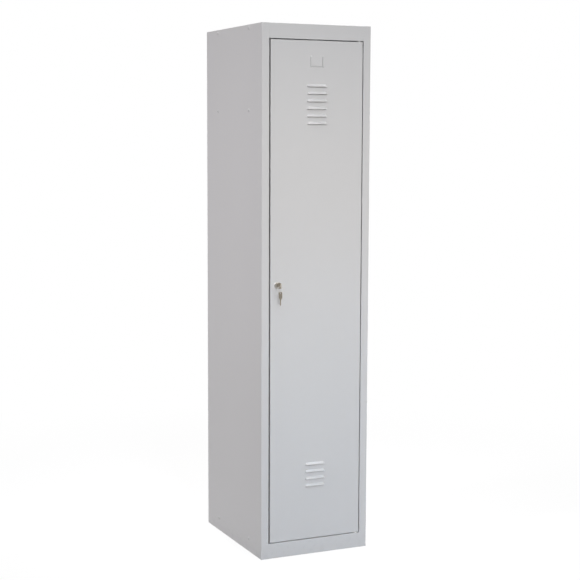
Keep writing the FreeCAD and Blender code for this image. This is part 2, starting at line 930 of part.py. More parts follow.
def plain_key():
    """Key in its own plane: the bow along +X from the shoulder, the blade along -X."""
    far = key_bow_length
    half = key_bow_half_width
    bow = polygon([
        (0, key_shoulder_half_width),
        (key_taper, half),
        (far, half),
        (far, -half),
        (key_taper, -half),
        (0, -key_shoulder_half_width),
    ]).extrude(V(0, 0, key_thick))
    upright = [edge for edge in bow.Edges if edge.BoundBox.ZLength > key_thick / 2]
    ends = [edge for edge in upright if edge.BoundBox.XMin > far - key_taper / 2]
    bow = bow.makeFillet(key_bow_corner, ends)
    blade = polygon(blade_points() + [(key_thick, -blade_half_width), (key_thick, blade_half_width)])
    key = joined([bow, blade.extrude(V(0, 0, key_thick))])
    key = key.cut(rod(key_hole_radius, V(far - key_hole_from_end, 0, 0), Z_AXIS, key_thick))
    key.translate(V(0, 0, -key_thick / 2))
    return key.Solids[0]


def key_in_lock():
    """Key pushed into the plug, its bow upright."""
    key = plain_key()
    bow_out = FreeCAD.Rotation(-Y_AXIS, Z_AXIS, -X_AXIS, "XYZ")
    key.Placement = FreeCAD.Placement(at_lock(shoulder_y), bow_out) * key.Placement
    return key


def spare_key():
    """Spare key hanging on the ring with its blade down, turned a little about its length."""
    key = plain_key()
    key.translate(V(key_hole_from_end - key_bow_length, 0, 0))
    bow_up = FreeCAD.Rotation(Z_AXIS, Y_AXIS, -X_AXIS, "XYZ")
    turned = FreeCAD.Rotation(Z_AXIS, spare_turn_degrees) * bow_up
    key.Placement = FreeCAD.Placement(V(lock_x, keyhole_y, spare_hole), turned) * key.Placement
    return key


def key_ring():
    """Ring through the bow of the key in the lock, parallel to the door."""
    return Part.makeTorus(ring_radius, ring_wire_radius, V(lock_x, keyhole_y, ring_centre), Y_AXIS)


def all_nodes():
    """Every node of the locker by name."""
    right = right_side_panel()
    bracket = rail_bracket()
    return {
        "left_side_panel": mirrored(right),
        "right_side_panel": right,
        "back_panel": back_panel(),
        "top_panel": top_panel(),
        "bottom_panel": bottom_panel(),
        "shelf": shelf(),
        "shelf_rivets": side_rivets(shelf_rivet_height),
        "floor_rivets": side_rivets(floor_rivet_height),
        "top_rivets": side_rivets(top_rivet_height),
        "back_rivets": back_rivets(),
        "hanging_rail": hanging_rail(),
        "rail_end_caps": rail_end_caps(),
        "left_rail_bracket": mirrored(bracket),
        "right_rail_bracket": bracket,
        "rail_rivets": rail_rivets(),
        "stop_tabs": stop_tabs(),
        "door_buffers": door_buffers(),
        "upper_bush": pivot_bush(header_bottom, 1),
        "lower_bush": pivot_bush(kick_height, -1),
        "door_panel": door_panel(),
        "door_stiffener": door_stiffener(),
        "upper_pivot_bracket": pivot_bracket(door_top - sheet, -1),
        "lower_pivot_bracket": pivot_bracket(door_bottom + sheet, 1),
        "upper_pivot_pin": pivot_pin(door_top, -1),
        "lower_pivot_pin": pivot_pin(door_bottom, 1),
        "thrust_washer": thrust_washer(),
        "lock_housing": lock_housing(),
        "lock_washer": lock_washer(),
        "lock_nut": lock_nut(),
        "lock_plug": lock_plug(),
        "lock_wafers": lock_wafers(),
        "stop_washer": stop_washer(),
        "lock_cam": lock_cam(),
        "cam_washer": cam_washer(),
        "cam_screw": cam_screw(),
        "key_in_lock": key_in_lock(),
        "key_ring": key_ring(),
        "spare_key": spare_key(),
    }


os.makedirs("parts", exist_ok=True)
for name, shape in all_nodes().items():
    shape.exportStep(f"parts/{name}.step")
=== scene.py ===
"""Dressed model of a tall single-door steel clothes locker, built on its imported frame.

Lengths are in metres. X points to the right, Y to the back and Z up, so the door faces -Y.
"""
import json
import logging
import math
from dataclasses import dataclass, field
from enum import Enum
from typing import Callable, Dict, List, Optional, Sequence, Tuple, Union

import bpy
from mathutils import Matrix, Vector


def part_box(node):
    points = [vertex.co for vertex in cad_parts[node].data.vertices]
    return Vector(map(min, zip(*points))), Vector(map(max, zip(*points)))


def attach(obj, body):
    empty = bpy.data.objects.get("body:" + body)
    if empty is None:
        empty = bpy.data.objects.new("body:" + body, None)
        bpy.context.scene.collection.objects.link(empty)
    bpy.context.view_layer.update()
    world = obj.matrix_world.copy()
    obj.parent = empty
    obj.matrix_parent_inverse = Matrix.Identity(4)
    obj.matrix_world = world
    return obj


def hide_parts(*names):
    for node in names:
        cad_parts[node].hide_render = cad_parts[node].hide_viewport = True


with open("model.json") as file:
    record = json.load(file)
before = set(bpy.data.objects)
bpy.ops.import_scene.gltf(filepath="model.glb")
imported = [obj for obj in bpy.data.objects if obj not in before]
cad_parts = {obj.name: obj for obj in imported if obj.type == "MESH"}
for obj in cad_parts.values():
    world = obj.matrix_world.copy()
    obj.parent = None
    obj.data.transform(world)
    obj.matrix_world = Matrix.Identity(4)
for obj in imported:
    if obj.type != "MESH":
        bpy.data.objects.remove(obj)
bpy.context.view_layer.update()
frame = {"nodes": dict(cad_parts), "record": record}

MM = 0.001

NOISE_ROUGHNESS = 0.55
EDGE_SAMPLES = 4
EDGE_LIKENESS = (0.98, 0.8)
MIX_FIRST = 6
MIX_SECOND = 7
MIX_RESULT = 2
WHITE = (1.0, 1.0, 1.0, 1.0)

MERGE_FINE = 1e-7
MERGE_CAD = 1e-6
FLAT_DEGREES = 0.2
FACE_WEIGHT = 90

Colour = Tuple[float, float, float]
Key = Union[int, str]

log = logging.getLogger("locker")


class Body(Enum):
    """Bodies of the frame that pieces ride on."""

    CABINET = "cabinet"
    DOOR = "door"
    LOCK_CORE = "lock_core"
    KEY = "key"
    RING = "ring"
    SPARE = "spare"


class Slot(Enum):
    """Material slots of the record."""

    GREY_PAINT = "grey_paint"
    CHROME = "chrome"
    NICKEL = "nickel"
    ZINC = "zinc"
    BRASS = "brass"
    NYLON = "nylon"
    BLACK_PLASTIC = "black_plastic"
    RUBBER = "rubber"


# Shader arithmetic


class Signal:
    """One shader output that takes part in Python arithmetic."""

    def __init__(self, sheet: "ShaderSheet", socket: bpy.types.NodeSocket) -> None:
        """Wrap one output socket of a sheet."""
        self.sheet = sheet
        self.socket = socket

    def _math(self, operation: str, first: "Term", second: "Term") -> "Signal":
        """Add a Math node between two terms."""
        return self.sheet.node("ShaderNodeMath", {"operation": operation}, {0: first, 1: second})

    def __add__(self, other: "Term") -> "Signal":
        """Sum of two terms."""
        return self._math("ADD", self, other)

    def __radd__(self, other: "Term") -> "Signal":
        """Sum with a number on the left."""
        return self._math("ADD", other, self)

    def __sub__(self, other: "Term") -> "Signal":
        """Difference of two terms."""
        return self._math("SUBTRACT", self, other)

    def __mul__(self, other: "Term") -> "Signal":
        """Product of two terms."""
        return self._math("MULTIPLY", self, other)

    def __rmul__(self, other: "Term") -> "Signal":
        """Product with a number on the left."""
        return self._math("MULTIPLY", other, self)


Term = Union[Signal, float]


class ShaderSheet:
    """Node tree of one material or of the world."""

    def __init__(self, tree: bpy.types.NodeTree) -> None:
        """Empty a node tree."""
        self.tree = tree
        self.tree.nodes.clear()

    @classmethod
    def of_material(cls, name: str) -> Tuple["ShaderSheet", bpy.types.Material]:
        """Make a new material and its sheet.

        Args:
            name: Name of the material.

        Returns:
            The sheet and the material.
        """
        material = bpy.data.materials.new(name)
        material.use_nodes = True
        return cls(material.node_tree), material

    def node(
        self,
        kind: str,
        settings: Optional[dict] = None,
        sockets: Optional[Dict[Key, object]] = None,
        out: Key = 0,
    ) -> Signal:
        """Add any node, set it up and join its sockets.

        Args:
            kind: Blender's name of the node type.
            settings: Properties that are set first.
            sockets: Values or signals by input name or number.
            out: Output that the signal stands for.

        Returns:
            The chosen output as a signal.
        """
        made = self.tree.nodes.new(kind)
        for name, value in (settings or {}).items():
            setattr(made, name, value)
        for key, value in (sockets or {}).items():
            if isinstance(value, Signal):
                self.tree.links.new(value.socket, made.inputs[key])
            else:
                made.inputs[key].default_value = value
        return Signal(self, made.outputs[out] if made.outputs else None)

    def place(self) -> Signal:
        """Object coordinates of the surface."""
        return self.node("ShaderNodeTexCoord", out="Object")

    def stretched(self, place: Signal, scale: Tuple[float, float, float]) -> Signal:
        """Coordinates with a scale of their own on each axis."""
        return self.node("ShaderNodeMapping", None, {"Vector": place, "Scale": scale})

    def noise(self, place: Signal, per_metre: float, detail: float = 2.0) -> Signal:
        """Smooth noise between about 0 and 1.

        Args:
            place: Coordinates to read.
            per_metre: Blotches per metre.
            detail: Octaves of finer noise.

        Returns:
            The noise as a signal.
        """
        sockets = {"Vector": place, "Scale": per_metre, "Detail": detail, "Roughness": NOISE_ROUGHNESS}
        return self.node("ShaderNodeTexNoise", None, sockets)

    def ramp(self, signal: Signal, low: float, high: float) -> Signal:
        """Share of the way of a signal from low to high, smooth at both ends."""
        settings = {"interpolation_type": "SMOOTHSTEP"}
        return self.node("ShaderNodeMapRange", settings, {0: signal, 1: low, 2: high})

    def mix(self, share: Term, first: object, second: object) -> Signal:
        """Mix of two colours.

        Args:
            share: Share of the second colour.
            first: Colour or signal at 0.
            second: Colour or signal at 1.

        Returns:
            The mixed colour.
        """
        settings = {"data_type": "RGBA"}
        ends = [value if isinstance(value, Signal) else (*value, 1.0) for value in (first, second)]
        sockets = {0: share, MIX_FIRST: ends[0], MIX_SECOND: ends[1]}
        return self.node("ShaderNodeMix", settings, sockets, out=MIX_RESULT)

    def edges(self, reach: float) -> Signal:
        """Mask that is 1 on sharp edges.

        Args:
            reach: Distance from an edge that still counts.

        Returns:
            The mask as a signal.
        """
        soft = self.node("ShaderNodeBevel", {"samples": EDGE_SAMPLES}, {"Radius": reach})
        plain = self.node("ShaderNodeNewGeometry", out="Normal")
        alike = self.node(
            "ShaderNodeVectorMath", {"operation": "DOT_PRODUCT"}, {0: soft, 1: plain}, out="Value"
        )
        return self.ramp(alike, *EDGE_LIKENESS)

    def bump(self, height: Signal, depth: float) -> Signal:
        """Normal that follows a height map.

        Args:
            height: Height between 0 and 1.
            depth: Real height of the relief in metres.

        Returns:
            The normal as a signal.
        """
        return self.node("ShaderNodeBump", None, {"Strength": 1.0, "Distance": depth, "Height": height})

    def surface(self, sockets: Dict[Key, object]) -> None:
        """End the sheet in a principled surface."""
        shader = self.node("ShaderNodeBsdfPrincipled", None, sockets)
        self.node("ShaderNodeOutputMaterial", None, {"Surface": shader})


def shade(colour: Colour, factor: float) -> Colour:
    """A colour made lighter or darker by a factor."""
    return tuple(min(1.0, channel * factor) for channel in colour)


# Finishes


@dataclass(frozen=True)
class PowderCoat:
    """Satin powder coat with orange peel, a faint tonal drift and paler sharp edges."""

    colour: Colour = (0.57, 0.57, 0.572)
    roughness: float = 0.42
    ior: float = 1.48
    drift: float = 0.03
    broad_per_metre: float = 2.4
    cloud_per_metre: float = 38.0
    grain_per_metre: float = 1900.0
    broad_share: float = 0.5
    cloud_share: float = 0.3
    grain_share: float = 0.2
    cloud_rough: float = 0.10
    grain_rough: float = 0.06
    peel_per_metre: float = 420.0
    peel_depth: float = 0.05 * MM
    edge_reach: float = 0.9 * MM
    edge_gain: float = 1.08
    edge_share: float = 0.6
    scuff_height: float = 0.07
    scuff_per_metre: float = 55.0
    scuff_band: Tuple[float, float] = (0.5, 0.75)
    scuff_share: float = 0.35
    scuff_gain: float = 0.82
    scuff_rough: float = 0.2

    def material(self, name: str) -> bpy.types.Material:
        """Build the material under a name."""
        sheet, material = ShaderSheet.of_material(name)
        place = sheet.place()
        broad = sheet.noise(place, self.broad_per_metre, 2.0)
        cloud = sheet.noise(place, self.cloud_per_metre, 3.0)
        grain = sheet.noise(place, self.grain_per_metre, 1.0)
        peel = sheet.noise(place, self.peel_per_metre, 1.5)
        tone = broad * self.broad_share + cloud * self.cloud_share + grain * self.grain_share
        body = sheet.mix(tone, shade(self.colour, 1.0 - self.drift), shade(self.colour, 1.0 + self.drift))
        height = sheet.node("ShaderNodeSeparateXYZ", None, {0: place}, out="Z")
        low = sheet.ramp(height, self.scuff_height, 0.0)
        patches = sheet.ramp(sheet.noise(place, self.scuff_per_metre, 4.0), *self.scuff_band)
        scuff = low * patches * self.scuff_share
        worn = sheet.mix(scuff, body, shade(self.colour, self.scuff_gain))
        edge = sheet.edges(self.edge_reach) * self.edge_share
        edged = sheet.mix(edge, worn, shade(self.colour, self.edge_gain))
        mottle = (cloud - 0.5) * self.cloud_rough + (grain - 0.5) * self.grain_rough
        rough = self.roughness + mottle + scuff * self.scuff_rough
        sheet.surface({
            "Base Color": edged,
            "Roughness": rough,
            "Normal": sheet.bump(peel, self.peel_depth),
            "IOR": self.ior,
        })
        return material


class Plate(Enum):
    """Ways in which a plated metal was finished."""

    POLISHED = "polished"
    BRUSHED = "brushed"
    PASSIVATED = "passivated"


TONE_SPREAD = {Plate.POLISHED: 0.05, Plate.BRUSHED: 0.10, Plate.PASSIVATED: 0.16}
LINE_DEPTH = {Plate.POLISHED: 0.001 * MM, Plate.BRUSHED: 0.004 * MM, Plate.PASSIVATED: 0.006 * MM}


@dataclass(frozen=True)
class Plating:
    """Plated metal with fine scratches, stains and a paler or yellower metal at worn edges."""

    colour: Colour
    plate: Plate
    roughness: float
    worn_colour: Colour
    edge_reach: float = 0.25 * MM
    edge_share: float = 0.5
    streak: Tuple[float, float, float] = (1.0, 1.0, 1.0)
    stain_per_metre: float = 160.0
    lines_per_metre: float = 2600.0
    stain_share: float = 0.6
    lines_share: float = 0.4
    least_rough: float = 0.7
    rough_share: float = 0.4
    tint_per_metre: float = 70.0
    tint_band: Tuple[float, float] = (0.45, 0.7)
    tint_share: float = 0.35
    tint_colour: Colour = (0.60, 0.57, 0.46)

    def material(self, name: str) -> bpy.types.Material:
        """Build the material under a name."""
        sheet, material = ShaderSheet.of_material(name)
        place = sheet.place()
        stain = sheet.noise(place, self.stain_per_metre, 3.0)
        lines = sheet.noise(sheet.stretched(place, self.streak), self.lines_per_metre, 2.0)
        tone = stain * self.stain_share + lines * self.lines_share
        spread = TONE_SPREAD[self.plate]
        body = sheet.mix(tone, shade(self.colour, 1.0 - spread), shade(self.colour, 1.0 + spread))
        if self.plate is Plate.PASSIVATED:
            patches = sheet.ramp(sheet.noise(place, self.tint_per_metre, 2.0), *self.tint_band)
            body = sheet.mix(patches * self.tint_share, body, self.tint_colour)
        edged = sheet.mix(sheet.edges(self.edge_reach) * self.edge_share, body, self.worn_colour)
        mottle = stain * self.rough_share + lines * self.rough_share
        rough = self.roughness * (self.least_rough + mottle)
        sheet.surface({
            "Base Color": edged,
            "Roughness": rough,
            "Normal": sheet.bump(lines, LINE_DEPTH[self.plate]),
            "Metallic": 1.0,
        })
        return material


@dataclass(frozen=True)
class Moulding:
    """Moulded plastic or rubber with a fine spark texture and rubbed edges."""

    colour: Colour
    roughness: float
    grain_depth: float
    edge_gain: float
    ior: float = 1.5
    tone_spread: float = 0.14
    flow_per_metre: float = 90.0
    grain_per_metre: float = 3200.0
    flow_share: float = 0.6
    grain_share: float = 0.4
    flow_rough: float = 0.12
    grain_rough: float = 0.08
    edge_reach: float = 0.3 * MM
    edge_share: float = 0.6

    def material(self, name: str) -> bpy.types.Material:
        """Build the material under a name."""
        sheet, material = ShaderSheet.of_material(name)
        place = sheet.place()
        flow = sheet.noise(place, self.flow_per_metre, 2.0)
        grain = sheet.noise(place, self.grain_per_metre, 2.0)
        tone = flow * self.flow_share + grain * self.grain_share
        ends = (shade(self.colour, 1.0 - self.tone_spread), shade(self.colour, 1.0 + self.tone_spread))
        body = sheet.mix(tone, *ends)
        edge = sheet.edges(self.edge_reach) * self.edge_share
        edged = sheet.mix(edge, body, shade(self.colour, self.edge_gain))
        rough = self.roughness + (flow - 0.5) * self.flow_rough + (grain - 0.5) * self.grain_rough
        sheet.surface({
            "Base Color": edged,
            "Roughness": rough,
            "Normal": sheet.bump(grain, self.grain_depth),
            "IOR": self.ior,
        })
        return material


FINISHES = {
    Slot.GREY_PAINT: PowderCoat(),
    Slot.CHROME: Plating((0.46, 0.45, 0.43), Plate.POLISHED, 0.32, (0.60, 0.59, 0.56), streak=(1, 0.1, 1)),
    Slot.NICKEL: Plating((0.43, 0.38, 0.31), Plate.BRUSHED, 0.30, (0.58, 0.49, 0.35), streak=(1, 0.1, 1)),
    Slot.ZINC: Plating((0.55, 0.56, 0.58), Plate.PASSIVATED, 0.34, (0.68, 0.68, 0.68), streak=(0.1, 1, 1)),
    Slot.BRASS: Plating((0.66, 0.50, 0.24), Plate.BRUSHED, 0.28, (0.75, 0.60, 0.34)),
    Slot.NYLON: Moulding((0.80, 0.80, 0.77), 0.45, 0.004 * MM, 1.05),
    Slot.BLACK_PLASTIC: Moulding((0.03, 0.03, 0.03), 0.42, 0.006 * MM, 1.8),
    Slot.RUBBER: Moulding((0.04, 0.04, 0.04), 0.72, 0.012 * MM, 1.5),
}
# Mandrel ends: bare steel, made near black so that the colour also paints the shade inside the rivets'
# pits.
MANDREL_STEEL_AND_PIT_SHADE = Plating((0.06, 0.055, 0.05), Plate.BRUSHED, 0.5, (0.12, 0.11, 0.10))
RING_PLATE = Plating((0.72, 0.71, 0.69), Plate.POLISHED, 0.22, (0.80, 0.78, 0.73))


class PaintShop:
    """Makes each finish once and puts it on pieces and CAD nodes."""

    def __init__(self) -> None:
        """Build the material of every slot, and those of the split ring and the mandrels (bare steel
        darkened as painted pit shade).
        """
        self.materials = {slot: FINISHES[slot].material(slot.value) for slot in Slot}
        self.ring_plate = RING_PLATE.material("bright_nickel")
        self.mandrel_steel_and_pit_shade = MANDREL_STEEL_AND_PIT_SHADE.material("mandrel_steel_and_pit_shade")

    def coat(self, obj: bpy.types.Object, slot: Slot) -> None:
        """Put one finish all over an object."""
        obj.data.materials.clear()
        obj.data.materials.append(self.materials[slot])

    def coat_node(self, name: str) -> None:
        """Put its record slot's finish on a CAD node that stays."""
        parts = frame["record"]["subparts"]
        slot = next(part["material_slot"] for part in parts if part["node"] == name)
        node = frame["nodes"][name]
        for place in node.material_slots:
            place.material = self.materials[Slot(slot)]


# Modelling by operators


class Bench:
    """Modelling moves that work on one object at a time."""

    @staticmethod
    def take(*objects: bpy.types.Object) -> None:
        """Select these objects alone, with the first one active."""
        bpy.ops.object.select_all(action="DESELECT")
        for obj in objects:
            obj.select_set(True)
        bpy.context.view_layer.objects.active = objects[0]

    @staticmethod
    def pick(obj: bpy.types.Object, test: Callable[[Vector], bool]) -> None:
        """Go into edit mode with the faces selected that pass a test.

        Args:
            obj: Active object.
            test: Takes a face's normal.
        """
        bpy.ops.object.mode_set(mode="EDIT")
        bpy.ops.mesh.select_mode(type="FACE")
        bpy.ops.mesh.select_all(action="DESELECT")
        bpy.ops.object.mode_set(mode="OBJECT")
        for face in obj.data.polygons:
            face.select = test(face.normal)
        bpy.ops.object.mode_set(mode="EDIT")

    @staticmethod
    def done(name: str) -> bpy.types.Object:
        """Leave edit mode and name the object, with its place put into its mesh.

        Args:
            name: Name of the piece.

        Returns:
            The active object, at the origin.
        """
        if bpy.context.object.mode == "EDIT":
            bpy.ops.object.mode_set(mode="OBJECT")
        bpy.ops.object.transform_apply(location=True, rotation=True, scale=True)
        obj = bpy.context.object
        obj.name = name
        obj.data.name = name
        return obj

    @staticmethod
    def apply(obj: bpy.types.Object, kind: str, settings: dict) -> None:
        """Add a modifier, set it up and apply it.

        Args:
            obj: Object that gets the modifier.
            kind: Blender's name of the modifier type.
            settings: Properties of the modifier.
        """
        Bench.take(obj)
        made = obj.modifiers.new(kind.lower(), kind)
        for name, value in settings.items():
            setattr(made, name, value)
        bpy.ops.object.modifier_apply(modifier=made.name)

    @staticmethod
    def outward(obj: bpy.types.Object) -> None:
        """Merge doubles and turn all faces outwards."""
        Bench.take(obj)
        bpy.ops.object.mode_set(mode="EDIT")
        bpy.ops.mesh.select_all(action="SELECT")
        bpy.ops.mesh.remove_doubles(threshold=MERGE_FINE)
        bpy.ops.mesh.normals_make_consistent(inside=False)
        bpy.ops.object.mode_set(mode="OBJECT")

    @staticmethod
    def close(obj: bpy.types.Object) -> None:
        """Fill the open ends of a wound shape and turn all its faces outwards."""
        Bench.take(obj)
        bpy.ops.object.mode_set(mode="EDIT")
        bpy.ops.mesh.select_all(action="SELECT")
        bpy.ops.mesh.fill_holes(sides=0)
        bpy.ops.object.mode_set(mode="OBJECT")
        Bench.outward(obj)

    @staticmethod
    def smooth(obj: bpy.types.Object, degrees: float = 35.0) -> None:
        """Shade an object smooth, with flat faces kept flat."""
        Bench.take(obj)
        bpy.ops.object.shade_smooth_by_angle(angle=math.radians(degrees))
        Bench.apply(obj, "WEIGHTED_NORMAL", {"keep_sharp": True, "weight": FACE_WEIGHT})

    @staticmethod
    def bevel(obj: bpy.types.Object, width: float, segments: int = 2, degrees: float = 40.0) -> None:
        """Round the sharp edges of an object.

        Args:
            obj: Object to work on.
            width: Width of the rounding.
            segments: Faces across the rounding.
            degrees: Least angle of an edge that counts as sharp.
        """
        settings = {
            "width": width,
            "segments": segments,
            "limit_method": "ANGLE",
            "angle_limit": math.radians(degrees),
            "use_clamp_overlap": True,
        }
        Bench.apply(obj, "BEVEL", settings)

    @staticmethod
    def copy_at(obj: bpy.types.Object, matrix: Matrix, name: str) -> bpy.types.Object:
        """Copy a model to a place, with a mesh of its own.

        Args:
            obj: Model at the origin.
            matrix: Place and turn of the copy.
            name: Name of the copy.

        Returns:
            The copy, with its place in its mesh.
        """
        Bench.take(obj)
        bpy.ops.object.duplicate(linked=False)
        copy = bpy.context.object
        copy.matrix_world = matrix
        return Bench.done(name)

    @staticmethod
    def join(objects: Sequence[bpy.types.Object], name: str) -> bpy.types.Object:
        """Join objects into one piece."""
        Bench.take(*objects)
        bpy.ops.object.join()
        return Bench.done(name)

    @staticmethod
    def cut(obj: bpy.types.Object, tools: Sequence[bpy.types.Object]) -> None:
        """Cut tool shapes out of an object and delete them.

        Args:
            obj: Object to cut.
            tools: Closed shapes to take away.
        """
        for tool in tools:
            Bench.apply(obj, "BOOLEAN", {"operation": "DIFFERENCE", "solver": "EXACT", "object": tool})
            bpy.data.objects.remove(tool)

    @staticmethod
    def refined(node: str, bevel: float = 0.0) -> bpy.types.Object:
        """Copy a CAD node, merge its loose triangles and round its sharp edges.

        Args:
            node: Name of the CAD node.
            bevel: Width of the rounding, or 0 for none.

        Returns:
            The copy as a new object.
        """
        obj = bpy.data.objects.new(f"{node}_finished", frame["nodes"][node].data.copy())
        bpy.context.scene.collection.objects.link(obj)
        Bench.take(obj)
        bpy.ops.object.mode_set(mode="EDIT")
        bpy.ops.mesh.select_all(action="SELECT")
        bpy.ops.mesh.remove_doubles(threshold=MERGE_CAD)
        bpy.ops.mesh.dissolve_limited(angle_limit=math.radians(FLAT_DEGREES))
        bpy.ops.object.mode_set(mode="OBJECT")
        if bevel:
            Bench.bevel(obj, bevel)
        return obj


@dataclass
class SubAssembly:
    """A group of pieces that are built and dressed together."""

    shop: PaintShop

    def settle(
        self,
        obj: bpy.types.Object,
        body: Body,
        slot: Slot,
        nodes: Sequence[str] = (),
    ) -> None:
        """Give a finished piece its body, finish and the nodes that it stands for.

        Args:
            obj: Piece in its place.
            body: Body that it rides on.
            slot: Finish that it gets.
            nodes: CAD nodes that it replaces.
        """
        self.shop.coat(obj, slot)
        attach(obj, body.value)
        if nodes:
            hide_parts(*nodes)
        log.info("piece %s on %s in %s", obj.name, body.value, slot.value)

    def keep(self, *nodes: str) -> None:
        """Keep CAD nodes as they are and put their finishes on."""
        for name in nodes:
            self.shop.coat_node(name)
            log.info("node %s kept", name)

    def finish_nodes(self, body: Body, slot: Slot, bevel: float, *nodes: str) -> None:
        """Put refined copies in the place of CAD nodes.

        Args:
            body: Body that the copies ride on.
            slot: Finish that they get.
            bevel: Width of their rounded edges, or 0 for none.
            nodes: Names of the CAD nodes.
        """
        for name in nodes:
            obj = Bench.refined(name, bevel)
            Bench.smooth(obj)
            self.settle(obj, body, slot, [name])


# Sub-assemblies


@dataclass
class Carcass(SubAssembly):
    """Folded sheet body of the locker with its door stops and pivot bushes."""

    buffer_round: float = 0.5 * MM
    bush_round: float = 0.25 * MM

    def build(self) -> None:
        """Keep the folded sheets and finish the small moulded parts."""
        self.keep("left_side_panel", "right_side_panel", "back_panel", "top_panel", "bottom_panel")
        self.keep("stop_tabs")
        self.finish_nodes(Body.CABINET, Slot.RUBBER, self.buffer_round, "door_buffers")
        self.finish_nodes(Body.CABINET, Slot.NYLON, self.bush_round, "upper_bush", "lower_bush")


